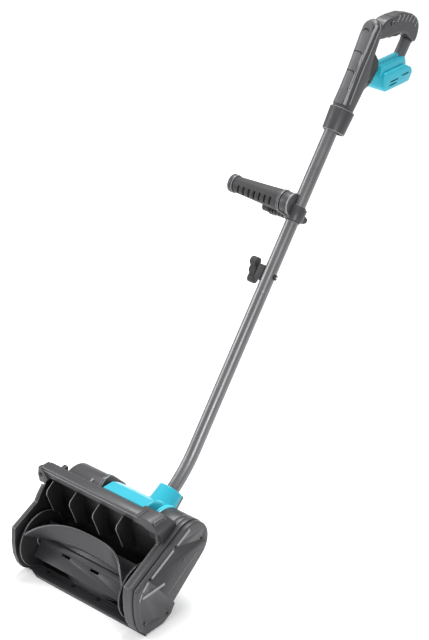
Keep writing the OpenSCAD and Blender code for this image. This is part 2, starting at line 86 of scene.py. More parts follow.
def at_axle(x, y, z):
    """A point given from the rotor shaft."""
    return AXLE + Vector((x, y, z)) * MM


def at_motor(x, y, z):
    """A point given from the motor shaft."""
    return MOTOR + Vector((x, y, z)) * MM


def at_tube(x, back, along):
    """A point given across, behind and along the straight tube."""
    return TUBE_FOOT + Vector((x * MM, 0, 0)) + OFF_TUBE * back * MM + UP_TUBE * along * MM


def at_bay(x, y, z):
    """A point given in the level frame of the battery bay."""
    return BAY + Vector((x, y, z)) * MM


print("rotor shaft", AXLE, "tube foot", TUBE_FOOT)

# %% [markdown]
# The camera stands high on the right in front, about four metres away with a long lens, so the
# tube hardly tapers. The sensor's 36 mm is the long, upright side of the frame.

# %% Camera
camera_data = bpy.data.cameras.new("camera")
camera_data.lens = 115.3
camera_data.sensor_width = 36
camera_data.clip_end = 50
camera = bpy.data.objects.new("camera", camera_data)
bpy.context.scene.collection.objects.link(camera)
camera.location = AXLE + Vector((2.4069, -2.3879, 2.3909))
camera.rotation_euler = (math.radians(61.5), 0, math.radians(41))
bpy.context.scene.camera = camera

# %% [markdown]
# The floor is a pale sheet that fades into a pale world, like paper in a light tent. A large soft
# light above and behind gives the bright lines along upper edges, a weaker one on the left fills
# the front, and a small one on the right in front draws the highlight along the tube.

# %% Floor and lights
def deselect():
    """Leaves nothing selected, so that the next operator acts on one piece alone."""
    if bpy.context.object and bpy.context.object.mode != "OBJECT":
        bpy.ops.object.mode_set(mode="OBJECT")
    bpy.ops.object.select_all(action="DESELECT")


deselect()
bpy.ops.mesh.primitive_plane_add(size=30, location=(0, 0, -0.0005))
floor = bpy.context.object
floor.name = "floor"
paper = bpy.data.materials.new("paper_floor")
paper.use_nodes = True
paper_shader = paper.node_tree.nodes["Principled BSDF"]
paper_shader.inputs["Base Color"].default_value = (0.93, 0.93, 0.93, 1)
paper_shader.inputs["Roughness"].default_value = 0.9
paper_shader.inputs["Emission Color"].default_value = (1, 1, 1, 1)
paper_shader.inputs["Emission Strength"].default_value = 0.12
floor.data.materials.append(paper)

world = bpy.data.worlds.new("light_tent")
bpy.context.scene.world = world
world.use_nodes = True
world.node_tree.nodes["Background"].inputs["Color"].default_value = (1, 1, 1, 1)
world.node_tree.nodes["Background"].inputs["Strength"].default_value = 0.62


def soft_light(name, place, aim, size, power):
    """A square soft box that points at a place."""
    data = bpy.data.lights.new(name, "AREA")
    data.size = size
    data.energy = power
    lamp = bpy.data.objects.new(name, data)
    bpy.context.scene.collection.objects.link(lamp)
    lamp.location = place
    lamp.rotation_euler = (Vector(aim) - Vector(place)).to_track_quat("-Z", "Y").to_euler()
    return lamp


bpy.context.scene.view_settings.view_transform = "Standard"
soft_light("top_box", (-0.4, 0.8, 3.0), (0, 0, 0.3), 1.6, 100)
soft_light("left_box", (-2.6, -1.6, 1.8), (0, -0.2, 0.3), 1.4, 42)
soft_light("front_box", (2.5, -2.2, 1.5), (0, 0, 0.6), 0.8, 46)

# %% [markdown]
# ## Finishes
#
# The machine is mostly grey plastic from a spark-eroded mould: a very fine grain, patches that
# are a little shinier where hands and snow rub, and edges that catch the light. A fine noise drives
# the bump, a broad one the roughness and colour. The edge finishes are the same plastic, smoother
# where the mould polishes the edges, and lighter in colour as a painted highlight, for the strips
# that the bevel modifier makes.


# %% Moulded plastic
GLOSS_SPREAD = 0.07


def moulded(name, colour, rough, grain=0.25, grain_size=900.0, metal=0.0, tone=0.12):
    """Plastic or paint with a fine grain and slow patches of tone and gloss."""
    made = bpy.data.materials.new(name)
    made.use_nodes = True
    nodes, links = made.node_tree.nodes, made.node_tree.links
    shader = nodes["Principled BSDF"]
    place = nodes.new("ShaderNodeTexCoord")

    patches = nodes.new("ShaderNodeTexNoise")
    patches.inputs["Scale"].default_value = 14
    patches.inputs["Detail"].default_value = 6
    patches.inputs["Roughness"].default_value = 0.65
    links.new(place.outputs["Object"], patches.inputs["Vector"])

    tint = nodes.new("ShaderNodeMix")
    tint.data_type = "RGBA"
    tint.inputs["A"].default_value = (*[c * (1 - tone) for c in colour], 1)
    tint.inputs["B"].default_value = (*[min(1, c * (1 + tone)) for c in colour], 1)
    links.new(patches.outputs["Fac"], tint.inputs["Factor"])
    links.new(tint.outputs["Result"], shader.inputs["Base Color"])

    gloss = nodes.new("ShaderNodeMapRange")
    gloss.inputs["From Min"].default_value = 0.3
    gloss.inputs["From Max"].default_value = 0.7
    gloss.inputs["To Min"].default_value = rough - GLOSS_SPREAD
    gloss.inputs["To Max"].default_value = rough + GLOSS_SPREAD
    links.new(patches.outputs["Fac"], gloss.inputs["Value"])
    links.new(gloss.outputs["Result"], shader.inputs["Roughness"])

    specks = nodes.new("ShaderNodeTexNoise")
    specks.inputs["Scale"].default_value = grain_size
    specks.inputs["Detail"].default_value = 3
    links.new(place.outputs["Object"], specks.inputs["Vector"])
    bump = nodes.new("ShaderNodeBump")
    bump.inputs["Strength"].default_value = grain
    bump.inputs["Distance"].default_value = 0.0003
    links.new(specks.outputs["Fac"], bump.inputs["Height"])
    links.new(bump.outputs["Normal"], shader.inputs["Normal"])
    shader.inputs["Metallic"].default_value = metal
    return made


dark = moulded("dark_grey_plastic", (0.034, 0.034, 0.037), 0.42)
# The lighter colour of this edge finish is a painted highlight; its lower roughness is the polished edge.
grey_painted_highlight = moulded("dark_grey_painted_highlight", (0.2, 0.2, 0.21), 0.3, grain=0.1)
inner = moulded("black_inner_plastic", (0.006, 0.006, 0.007), 0.5)
# The lighter colour of this edge finish is a painted highlight on the black parts.
black_painted_highlight = moulded("black_inner_painted_highlight", (0.16, 0.16, 0.165), 0.35, grain=0.1)
blade = moulded("rotor_plastic", (0.03, 0.03, 0.033), 0.36)
soft = moulded("soft_overmould", (0.022, 0.022, 0.024), 0.6, grain=0.4, grain_size=1500)
panel_grey = moulded("panel_plastic", (0.075, 0.075, 0.08), 0.32)
teal = moulded("teal_plastic", (0.016, 0.37, 0.48), 0.3, grain=0.15, tone=0.06)
# The brighter teal of this edge finish is a painted highlight.
teal_painted_highlight = moulded("teal_painted_highlight", (0.08, 0.68, 0.82), 0.28, grain=0.1, tone=0.04)
# The dark teal below is painted shade for the walls of recesses.
teal_shadow = moulded("teal_recess_painted_shade", (0.004, 0.1, 0.14), 0.5, grain=0.15, tone=0.06)
paint = moulded("tube_paint", (0.16, 0.16, 0.165), 0.33, grain=0.12, grain_size=2200, metal=0.7)
steel = moulded("plated_steel", (0.5, 0.5, 0.51), 0.28, grain=0.2, grain_size=1200, metal=1.0)
board = moulded("circuit_board", (0.01, 0.13, 0.05), 0.35, grain=0.5, grain_size=500)
print("finishes:", [m.name for m in bpy.data.materials])

# %% [markdown]
# ## Easing the edges
#
# A moulded part has no sharp edge. A imported node is a good start for a flat-sided cover: its copy
# is merged, its flat faces are joined again, and the bevel modifier rounds each edge and gives
# the rounded strip the edge finish, whose lighter colour is a painted highlight. The copy then
# stands for the node.


# %% Copies of imported nodes with eased edges
def wear(piece, *finishes):
    """Puts these finishes in the piece's slots."""
    piece.data.materials.clear()
    for finish in finishes:
        piece.data.materials.append(finish)


def settle(piece, body, slot, *stands_for):
    """Says which body a finished piece rides on and what it stands for."""
    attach(piece, body)
    if stands_for:
        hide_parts(*stands_for)
    return piece


def round_edges(piece, width, segments=2, limit=28, edge_slot=-1):
    """Rounds the edges sharper than a limit, and applies it."""
    deselect()
    piece.select_set(True)
    bpy.context.view_layer.objects.active = piece
    bevel = piece.modifiers.new("bevel", "BEVEL")
    bevel.width = width * MM
    bevel.segments = segments
    bevel.limit_method = "ANGLE"
    bevel.angle_limit = math.radians(limit)
    bevel.material = edge_slot
    bevel.harden_normals = False
    bpy.ops.object.modifier_apply(modifier=bevel.name)
    bpy.ops.object.shade_smooth_by_angle(angle=math.radians(35))


def merged_copy(node, name):
    """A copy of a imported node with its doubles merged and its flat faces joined."""
    deselect()
    source = frame["nodes"][node]
    piece = bpy.data.objects.new(name, source.data.copy())
    bpy.context.scene.collection.objects.link(piece)
    bpy.context.view_layer.objects.active = piece
    piece.select_set(True)
    bpy.ops.object.mode_set(mode="EDIT")
    bpy.ops.mesh.select_all(action="SELECT")
    bpy.ops.mesh.remove_doubles(threshold=0.00002)
    bpy.ops.mesh.dissolve_limited(angle_limit=math.radians(0.8))
    bpy.ops.object.mode_set(mode="OBJECT")
    if piece.data.has_custom_normals:
        bpy.ops.mesh.customdata_custom_splitnormals_clear()
    return piece


def eased(node, width, finish, edge=None, segments=2, slot=None):
    """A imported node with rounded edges, which then stands for the node."""
    piece = merged_copy(node, node + "_eased")
    body = frame["nodes"][node]["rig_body"]
    wear(piece, finish, edge or finish)
    round_edges(piece, width, segments, edge_slot=1)
    used = next(s["material_slot"] for s in frame["record"]["subparts"] if s["node"] == node)
    return settle(piece, body, slot or used, node)


# %% [markdown]
# ## Shaping tools
#
# Most covers of this machine are a side outline with a width, so one helper draws the outline as a
# face and extrudes it, as one would by hand. Shafts and bosses start as a cone primitive between
# two points. Cutting and joining are boolean modifiers, and a voxel remesh followed by smoothing
# melts joined shapes into one another where the mould has a generous radius.


# %% Outlines, rods, cuts and blends
def select_only(piece):
    """Selects one piece and makes it the active one."""
    deselect()
    piece.select_set(True)
    bpy.context.view_layer.objects.active = piece


def apply_modifier(piece, kind, **settings):
    """Adds a modifier with these settings and applies it."""
    select_only(piece)
    modifier = piece.modifiers.new(kind.lower(), kind)
    for key, value in settings.items():
        setattr(modifier, key, value)
    bpy.ops.object.modifier_apply(modifier=modifier.name)
    return piece


def prism(name, outline, x0, x1, place=at_axle):
    """A side outline, drawn as (y, z), given a width from x0 to x1."""
    mesh = bpy.data.meshes.new(name)
    mesh.from_pydata([place(x0, y, z) for y, z in outline], [], [list(range(len(outline)))])
    piece = bpy.data.objects.new(name, mesh)
    bpy.context.scene.collection.objects.link(piece)
    select_only(piece)
    bpy.ops.object.mode_set(mode="EDIT")
    bpy.ops.mesh.select_all(action="SELECT")
    step = place(x1, 0, 0) - place(x0, 0, 0)
    bpy.ops.mesh.extrude_region_move(TRANSFORM_OT_translate={"value": step})
    bpy.ops.mesh.select_all(action="SELECT")
    bpy.ops.mesh.normals_make_consistent(inside=False)
    bpy.ops.object.mode_set(mode="OBJECT")
    return piece


def rod(name, start, end, r0, r1=None, sides=64):
    """A round bar or cone between two points."""
    deselect()
    line = end - start
    bpy.ops.mesh.primitive_cone_add(vertices=sides, radius1=r0 * MM,
                                    radius2=(r0 if r1 is None else r1) * MM,
                                    depth=line.length, location=(start + end) / 2,
                                    rotation=line.to_track_quat("Z", "Y").to_euler())
    piece = bpy.context.object
    piece.name = name
    bpy.ops.object.transform_apply()
    return piece


def cut(piece, *tools, keep="DIFFERENCE"):
    """Cuts, joins or intersects a piece with others, which are used up."""
    for tool in tools:
        apply_modifier(piece, "BOOLEAN", object=tool, operation=keep, solver="EXACT",
                       material_mode="TRANSFER")
        bpy.data.objects.remove(tool)
    return piece


def join(piece, *others):
    """Joins others to a piece."""
    return cut(piece, *others, keep="UNION")


def melt(piece, voxel, passes, strength=0.5):
    """Melts a joined shape into one skin with soft inner and outer corners."""
    apply_modifier(piece, "REMESH", mode="VOXEL", voxel_size=voxel * MM)
    apply_modifier(piece, "SMOOTH", factor=strength, iterations=passes)
    select_only(piece)
    bpy.ops.object.shade_smooth()
    return piece


def arc(centre, radius, start, end, steps=24):
    """Points of an arc in a side view, with its angles in degrees."""
    turn = [math.radians(start + (end - start) * i / steps) for i in range(steps + 1)]
    return [(centre[0] + radius * math.cos(a), centre[1] + radius * math.sin(a)) for a in turn]


MOTOR_YZ = tuple((MOTOR - AXLE)[i] / MM for i in (1, 2))
print("motor shaft is", MOTOR_YZ, "mm from the rotor shaft")

# %% [markdown]
# ## The belt side
#
# The right side is a thick plate and a lid over the belt. The lid is made of two layers so that
# two fine lines run along its rim, and its outer face carries a raised rim strip, a rib, a thin
# line and screw holes. The outline is straight stretches and one arc round the motor shaft.


# %% Belt cover
def belt_side(inset):
    """Side outline of the belt case, drawn inwards by an inset."""
    i = inset
    nose = [(-37 + i, -68 + i), (-48 + i, -56 + i / 2), (-57 + i, -36), (-62 + i, -8),
            (-63 + i, 22), (-60 + i, 47 - i / 2)]
    back = [(47 - i, -30 + i / 3), (51 - i, -36 + i / 3), (38 - i / 2, -56 + i / 2),
            (13 - i / 2, -68 + i)]
    return nose + arc(MOTOR_YZ, 50 - i, 118, -52, 32) + back


BASE_X = (162.4, 173.4)
LID_X = (173.8, 186.4)
LID_FACE = 186.1
SCREW_SPOTS = [(-23.6, 59.9), (50.7, 98), (125.8, 80.3), (24, -46), (-42, -34)]
cover_base = prism("belt_cover_base", belt_side(0.0), *BASE_X)
round_edges(cover_base, 1.2, 2, 20)
wear(cover_base, dark, grey_painted_highlight)
cover_lid = prism("belt_cover_lid", belt_side(1.4), *LID_X)
lid_holes = [rod("hole", at_axle(181, y, z), at_axle(190, y, z), 3.1, sides=24)
             for y, z in SCREW_SPOTS]
wear(cover_lid, dark, grey_painted_highlight)
round_edges(cover_lid, 5.5, 4, 20)
cut(cover_lid, *lid_holes)
settle(cover_base, "machine", "dark_plastic")
settle(cover_lid, "machine", "dark_plastic", "belt_cover")
for number, (y, z) in enumerate(SCREW_SPOTS):
    screw = rod(f"cover_screw_{number}", at_axle(181, y, z), at_axle(183, y, z), 2.8, sides=24)
    wear(screw, inner)
    settle(screw, "machine", "bright_steel", *(["belt_cover_screws"] if number == 0 else []))


def bar_on_lid(name, start, end, width, height, finish, round_by=0.5):
    """A raised bar along a line on the outer face of the lid."""
    a, b = Vector(start), Vector(end)
    along = (b - a).normalized()
    side = Vector((-along.y, along.x)) * width / 2
    corners = [tuple(p) for p in (a - side, b - side, b + side, a + side)]
    piece = prism(name, corners, LID_FACE, LID_FACE + height)
    wear(piece, finish, finish)
    round_edges(piece, round_by, 2)
    return settle(piece, "machine", "dark_plastic")


# The strips, the fine line and the rib are lighter grey as a painted highlight.
bar_on_lid("rim_strip_low", (-45, 41.5), (-29.5, 56.5), 5.6, 1.8, grey_painted_highlight)
bar_on_lid("rim_strip_mid", (-18.5, 60.6), (44.6, 93.2), 5.6, 1.8, grey_painted_highlight)
bar_on_lid("rim_strip_high", (56.2, 99.1), (92, 117.2), 5.6, 1.8, grey_painted_highlight)
bar_on_lid("rim_strip_nose", (-55, 24), (-47, 39.5), 3.4, 1.4, grey_painted_highlight)
bar_on_lid("fine_line", (27.1, -1.9), (113.5, 53.4), 1.0, 1.2, grey_painted_highlight, 0.3)
bar_on_lid("short_rib", (-45.3, 27.0), (17.8, 28.5), 6.5, 1.6, grey_painted_highlight, 0.7)
bar_on_lid("small_boss", (71, 53), (76.5, 55.8), 5.5, 1.6, dark, 0.7)


INSIDE_HALF = 152


def paint_inner_shade(piece, side):
    """Gives the inner face of a side plate the black finish of the scoop's inside, as painted shade."""
    piece.data.materials.append(inner)
    for face in piece.data.polygons:
        if face.normal.x * side > 0.9 and abs(face.center.x - AXLE.x) < INSIDE_HALF * MM:
            face.material_index = 2


paint_inner_shade(eased("side_plate_right", 1.4, dark, grey_painted_highlight), -1)

# %% [markdown]
# ## The shoulder
#
# The flange over the mouth doesn't end square: it turns down into the belt side in a wide curve
# and rises into the drum. A bent band, drawn from the front, makes the curve, and a fillet with a
# sloped top thickens the corner.

# %% Shoulder between flange and belt side
def across_head(y, x, z):
    """The frame for a front view drawn as (across, up) and extruded backwards."""
    return at_axle(x, y, z)


outer_bend = arc((134, 124), 28.2, 90, 0, 12) + [(162.2, 70), (154, 70), (154, 98)]
inner_bend = arc((118, 98), 36, 0, 90, 12) + [(100, 134), (100, 152.2)]
shoulder = prism("drive_shoulder", outer_bend + inner_bend, 23.5, 80, across_head)
side_limit = prism("side_limit", [(23, 130), (23, 160), (52, 160), (66, 146), (84, 124), (70, 60),
                                  (44, 60), (36, 84), (41, 100), (36, 118)], 60, 200)
cut(shoulder, side_limit, keep="INTERSECT")
wear(shoulder, dark, grey_painted_highlight)
round_edges(shoulder, 2.5, 3, 30, edge_slot=0)
fillet = prism("shoulder_fillet", [(40, 100), (36, 118), (30, 132), (52, 150), (70, 140),
                                   (84, 122), (70, 80)], 128, 160)
slope = prism("slope", [(126, 158), (126, 146), (150, 128), (164, 104), (190, 104), (190, 158)],
              0, 120, across_head)
cut(fillet, slope)
wear(fillet, dark)
round_edges(fillet, 2, 3)
settle(fillet, "machine", "dark_plastic")
settle(shoulder, "machine", "dark_plastic")

# %% [markdown]
# ## The flange
#
# A folded bar over the mouth: a lighter front face, a thin line and a darker top. The eased node
# gives the section, and a slim raised line separates the two bands; its lighter grey is a painted
# highlight.

# %% Flange and its line
flange = eased("top_flange", 1.6, dark, grey_painted_highlight)
FLANGE_END = 117
cut(flange, prism("flange_end", [(0, 100), (0, 200), (80, 200), (80, 100)], FLANGE_END, 170))
flange_line = prism("flange_line", [(22.2, 147), (22.2, 149.2), (24, 149.2), (24, 147)], -149, 112)
# The line is lighter grey as a painted highlight.
wear(flange_line, grey_painted_highlight, grey_painted_highlight)
round_edges(flange_line, 0.5, 2)
settle(flange_line, "machine", "dark_plastic")
top_pad = prism("flange_top", [(26, 152.8), (26, 153.8), (47, 153.8), (47, 152.8)], -156, 108)
wear(top_pad, dark, grey_painted_highlight)
round_edges(top_pad, 0.45, 2, edge_slot=1)
settle(top_pad, "machine", "dark_plastic")

# %% [markdown]
# ## Motor housing
#
# The motor sits in a round bump on the left of the coloured cover. Its right end is a bracket that
# stands higher than the bump, with a deep step behind it, and a small fin lies across the top.

# %% Motor bump, bracket and step
def scoop_side():
    """A block over the scoop, which cuts a round piece flat where the scoop's back is."""
    return prism("flat_front", [(-80, -80), (68.3, -80), (57, 160), (-80, 160)], -180, 200)


bump = rod("motor_bump", at_motor(-134, 0, 0), at_motor(-37, 0, 0), 52)
cut(bump, scoop_side())
wear(bump, dark, grey_painted_highlight)
round_edges(bump, 5, 4, 40)
settle(bump, "machine", "dark_plastic", "motor_housing")
bracket = prism("motor_bracket", [(50, 112), (50, 126), (58, 130), (82, 149), (98, 150.5), (108, 143),
                                  (128, 122), (140, 110), (150, 80), (140, 50), (64, 40)], -36.5, -29)
wear(bracket, dark, grey_painted_highlight)
round_edges(bracket, 1.8, 3, 20, edge_slot=1)
settle(bracket, "machine", "dark_plastic")
step = rod("motor_step", at_motor(-29.5, 0, 0), at_motor(-11.5, 0, 0), 47)
cut(step, scoop_side())
wear(step, dark)
round_edges(step, 1)
settle(step, "machine", "dark_plastic", "motor_end_cap")
fin = prism("motor_fin", [(66, 118), (66, 121.5), (86, 131.5), (88, 128), (86, 122)], -72, -66)
# The fin is lighter grey as a painted highlight.
wear(fin, grey_painted_highlight, grey_painted_highlight)
round_edges(fin, 1.6, 3)
settle(fin, "machine", "dark_plastic")

# %% [markdown]
# ## The coloured cover
#
# The upper half of the socket is one moulding: a flat-topped box with a chamfered left end, a
# round boss that holds the tube, and two steps where it meets the drum. Box and boss are joined and
# melted together, because the mould has a large radius between them. The tube's hole is cut last,
# so that its rim stays crisp. The lower half of the boss is a piece of its own in the same colour.

# %% Socket cover
FOOT_LEAN = math.radians(35.5)
SPLIT_Y, SPLIT_Z = 400 * math.cos(FOOT_LEAN), 400 * math.sin(FOOT_LEAN)
TUBE_X = 75
box = prism("socket_top", [(60, 100), (53.5, 140), (56, 149.5), (84, 149.5), (100, 140),
                           (128, 117), (140.3, 105.7), (101, 78)], -12, 101)
boss_way = Vector((0, math.cos(FOOT_LEAN), math.sin(FOOT_LEAN))) * MM
boss_root = at_motor(TUBE_X, -0.78, 1.09)


def tube_bore():
    """The hole for the tube, a little wider than the tube."""
    return rod("bore", boss_root + boss_way * 40, boss_root + boss_way * 110, 14.8)


boss = rod("boss", boss_root + boss_way * 10, boss_root + boss_way * 80, 34, 28.5)
lower_half = prism("lower_half", [(0, 0), (SPLIT_Y, SPLIT_Z), (500, -300), (-300, -300),
                                  (-SPLIT_Y, -SPLIT_Z)], -80, 200, at_motor)
join(box, boss)
melt(box, 1.3, 10)
cut(box, lower_half, tube_bore())
wear(box, teal, teal_painted_highlight)
select_only(box)
bpy.ops.object.shade_smooth_by_angle(angle=math.radians(40))
settle(box, "machine", "teal_plastic", "socket_cover")
for number, (radius, x0, x1) in enumerate(((51.5, 99, 105), (50.3, 104, 110.6))):
    ring = rod(f"socket_step_{number}", at_motor(x0, 0, 0), at_motor(x1, 0, 0), radius)
    cut(ring, scoop_side())
    wear(ring, teal, teal_painted_highlight)
    round_edges(ring, 1.6, 3, edge_slot=1)
    settle(ring, "machine", "teal_plastic")
boss_low = rod("boss_lower_half", boss_root + boss_way * 10, boss_root + boss_way * 79, 33, 27.6)
upper_half = prism("upper_half", [(-SPLIT_Y, -SPLIT_Z), (SPLIT_Y, SPLIT_Z), (200, 500), (-400, 300)],
                   -80, 200, at_motor)
cut(boss_low, upper_half, tube_bore())
wear(boss_low, teal, teal_painted_highlight)
round_edges(boss_low, 1, edge_slot=1)
settle(boss_low, "machine", "teal_plastic")

# %% [markdown]
# ## Scoop and vanes
#
# The inside is black. Each of the four vanes is a thin blade with a blunt nose, and only its front
# edge catches the light, so the faces of that edge get a lighter colour, a painted highlight.

# %% Vanes
FIRST_VANE, VANE_STEP, VANE_WIDTH = -121, 64, 2.5
NOSE = arc((18, 112), 15, 212, 146, 8)
VANE = [(58.0, 42), (45, 46.5), (21, 61.5)] + NOSE + [(24, 133.5), (43, 133.5)]
for number in range(4):
    x = FIRST_VANE + VANE_STEP * number
    vane = prism(f"vane_{number}", VANE, x, x + VANE_WIDTH)
    wear(vane, inner, black_painted_highlight)
    round_edges(vane, 0.6, 2, 20, edge_slot=-1)
    # The faces that look to the front take the lighter colour as a painted highlight.
    for face in vane.data.polygons:
        face.material_index = int(face.normal.y < -0.55)
    settle(vane, "machine", "black_plastic", *(["deflector_vanes"] if number == 0 else []))
eased("scoop_shell", 0.8, inner, black_painted_highlight)

# %% [markdown]
# ## Rotor
#
# Two discs on the shaft, a flat bar along it and two arched blades whose lean grows towards the
# discs. A blade is a grid that is bent by one rule, then thickened and rounded, so it is as smooth
# as the moulding.

# %% Arched blades
ROTOR_HALF = 138
BLADE_RADIUS = 61
DISC_ROOM = 3.2


def arched(name, turn):
    """One arched blade, turned about the shaft."""
    deselect()
    bpy.ops.mesh.primitive_grid_add(x_subdivisions=72, y_subdivisions=8, size=2)
    piece = bpy.context.object
    piece.name = name
    half = ROTOR_HALF - DISC_ROOM
    for vertex in piece.data.vertices:
        x = vertex.co.x * half
        share = abs(x) / ROTOR_HALF
        angle = math.radians(80 + 70 * share ** 2.6 + turn)
        inner_r = 10 + 12 * (1 - share ** 2)
        r = inner_r + (BLADE_RADIUS - inner_r) * (vertex.co.y + 1) / 2
        vertex.co = at_axle(x, r * math.cos(angle), r * math.sin(angle))
    apply_modifier(piece, "SOLIDIFY", thickness=3 * MM, offset=0)
    wear(piece, blade, grey_painted_highlight)
    round_edges(piece, 0.7, 2, 40, edge_slot=1)
    return piece


settle(arched("rotor_arch_a", 0), "rotor", "dark_plastic", "rotor_scoops")
settle(arched("rotor_arch_b", 180), "rotor", "dark_plastic")
for node in ("rotor_disc_left", "rotor_disc_right"):
    eased(node, 0.8, inner, grey_painted_highlight)
eased("rotor_paddle", 0.6, blade, grey_painted_highlight)

# %% [markdown]
# ## The other covers of the head
#
# The left side plate, the scraper strip, the drum and the lower half of the socket keep their
# packed outlines, so they are eased copies.

# %% Other head covers
# The left plate's inner face is darkened the same way, as painted shade.
paint_inner_shade(eased("side_plate_left", 1.6, dark, grey_painted_highlight), 1)
for node, width in (("scraper_bar", 0.8), ("belt_case", 1.2), ("socket_base", 1.0)):
    eased(node, width, dark, grey_painted_highlight)

# %% [markdown]
# ## Joint and side grip
#
# The clamp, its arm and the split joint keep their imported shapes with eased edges, because they fit
# round the tube. The two hand knobs are bone-shaped, so their copies are melted until the lobes run
# into the waist. The grip's sleeve gets two rings near the hub and shallow ribs along its top.

# %% Knobs, clamp and grip
for node in ("joint_knob", "clamp_knob"):
    knob = merged_copy(node, node + "_melted")
    wear(knob, soft)
    melt(knob, 0.8, 8)
    settle(knob, frame["nodes"][node]["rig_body"], "black_plastic", node)
for node in ("joint_saddle", "clamp_liner"):
    eased(node, 1.0, soft, grey_painted_highlight)
for node in ("clamp_body", "clamp_cap"):
    eased(node, 1.0, dark, grey_painted_highlight)
eased("grip_end_cap", 1.6, dark, grey_painted_highlight, segments=3)
eased("grip_sleeve", 0.8, soft, grey_painted_highlight)
GRIP_LOW, GRIP_HIGH = -128, -24
GRIP_BACK, GRIP_S = -16, CLAMP_S + 15
RIB_STEP, RIB_WIDTH = 12.5, 4


def on_grip(x):
    """A point on the axis of the side grip."""
    return at_tube(x, GRIP_BACK, GRIP_S)


for number in range(9):
    x = GRIP_HIGH - 8 - RIB_STEP * number
    share = (x - GRIP_LOW) / (GRIP_HIGH - GRIP_LOW)
    ring = rod(f"grip_rib_{number}", on_grip(x), on_grip(x + RIB_WIDTH),
               17.6 + 6 * share, 17.8 + 6 * share)
    below_top = [(-80, CLAMP_S + 27), (80, CLAMP_S + 27), (80, CLAMP_S - 60), (-80, CLAMP_S - 60)]
    top_only = prism("top_only", below_top, x - 5, x + 9, at_tube)
    cut(ring, top_only, rod("middle", on_grip(x - 5), on_grip(x + 9), 15))
    wear(ring, soft, grey_painted_highlight)
    round_edges(ring, 0.5, 2)
    settle(ring, "side_grip", "soft_rubber")
# The hub rim wears the lighter grey as a painted highlight.
for name, x0, x1, radius, finish in (("grip_flange", -30, -24.5, 24.6, dark),
                                     ("hub_rim", -4.5, -1.2, 24.2, grey_painted_highlight)):
    ring = rod(name, on_grip(x0), on_grip(x1), radius)
    middle = rod("middle", on_grip(x0 - 5), on_grip(x1 + 5), 20)
    cut(ring, middle, rod("tube_room", at_tube(0, 0, 400), at_tube(0, 0, 600), 20.2))
    wear(ring, finish, grey_painted_highlight)
    round_edges(ring, 1, 2, edge_slot=1)
    settle(ring, "side_grip", "dark_plastic")

# %% [markdown]
# ## Rear handle
#
# The body of the handle is a rounded tube that swells towards its end, so it is lofted: rings with
# soft corners, whose front and back follow two short lists of places along the tube. The soft
# panel is the same skin made a little larger and trimmed by a front view, with two D-shaped lines
# and a crescent cut into it, whose walls are black as painted shade. The body is parted lengthwise,
# as its two shells are.


# %% Body of the handle
def softened(outline, rounds=2):
    """Cuts the corners of an outline, again and again, so that it becomes a smooth curve."""
    for _ in range(rounds):
        eased_points = []
        for here, after in zip(outline, outline[1:] + outline[:1]):
            eased_points.append(tuple(a * 0.75 + b * 0.25 for a, b in zip(here, after)))
            eased_points.append(tuple(a * 0.25 + b * 0.75 for a, b in zip(here, after)))
        outline = eased_points
    return outline


def between(places, s):
    """Value at s on a list of (s, value) places."""
    for (s0, v0), (s1, v1) in zip(places, places[1:]):
        if s <= s1:
            return v0 + (v1 - v0) * (s - s0) / (s1 - s0)
    return places[-1][1]


BODY_FRONT = [(750, -15), (790, -14.5), (850, -17), (905, -21.5), (948, -22)]
BODY_BACK = [(750, 27), (778, 30), (800, 32), (826, 36), (845, 27), (872, 18), (905, 12), (948, 8)]
BODY_HALF_WIDTH = 19
CORNER_POWER = 0.62


def handle_skin(name, s0, s1, grow=0.0, around=64):
    """The rounded body of the handle from s0 to s1, made larger by grow."""
    rings = []
    steps = int((s1 - s0) / 3)
    for i in range(steps + 1):
        s = s0 + (s1 - s0) * i / steps
        crown = max(0, (s - 919) / 24)
        shrink = math.sqrt(max(0.03, 1 - crown * crown))
        front, back = between(BODY_FRONT, s) - grow, between(BODY_BACK, s) + grow
        middle, depth = (front + back) / 2, (back - front) / 2 * (0.3 + 0.7 * shrink)
        ring = []
        for k in range(around):
            turn = 2 * math.pi * k / around
            c, d = math.cos(turn), math.sin(turn)
            across = math.copysign(abs(c) ** CORNER_POWER, c)
            behind = math.copysign(abs(d) ** CORNER_POWER, d)
            ring.append(at_tube((BODY_HALF_WIDTH + grow) * shrink * across,
                                middle + depth * behind, s))
        rings.append(ring)
    points = [p for ring in rings for p in ring]
    faces = [[r * around + k, r * around + (k + 1) % around, (r + 1) * around + (k + 1) % around,
              (r + 1) * around + k] for r in range(steps) for k in range(around)]
    faces += [list(range(around)), [steps * around + k for k in range(around)]]
    mesh = bpy.data.meshes.new(name)
    mesh.from_pydata(points, [], faces)
    piece = bpy.data.objects.new(name, mesh)
    bpy.context.scene.collection.objects.link(piece)
    select_only(piece)
    bpy.ops.object.mode_set(mode="EDIT")
    bpy.ops.mesh.select_all(action="SELECT")
    bpy.ops.mesh.normals_make_consistent(inside=False)
    bpy.ops.object.mode_set(mode="OBJECT")
    bpy.ops.object.shade_smooth_by_angle(angle=math.radians(40))
    return piece


def seen_from_front(d, x, s):
    """The frame for outlines drawn as (across, along) on the front of the handle."""
    return at_tube(x, d, s)


def band(points, width):
    """Outline of a ribbon along a line of points."""
    left, right = [], []
    for i, here in enumerate(points):
        a, b = Vector(points[max(0, i - 1)]), Vector(points[min(len(points) - 1, i + 1)])
        side = Vector((a.y - b.y, b.x - a.x)).normalized() * width / 2
        left.append(tuple(Vector(here) + side))
        right.append(tuple(Vector(here) - side))
    return left + right[::-1]


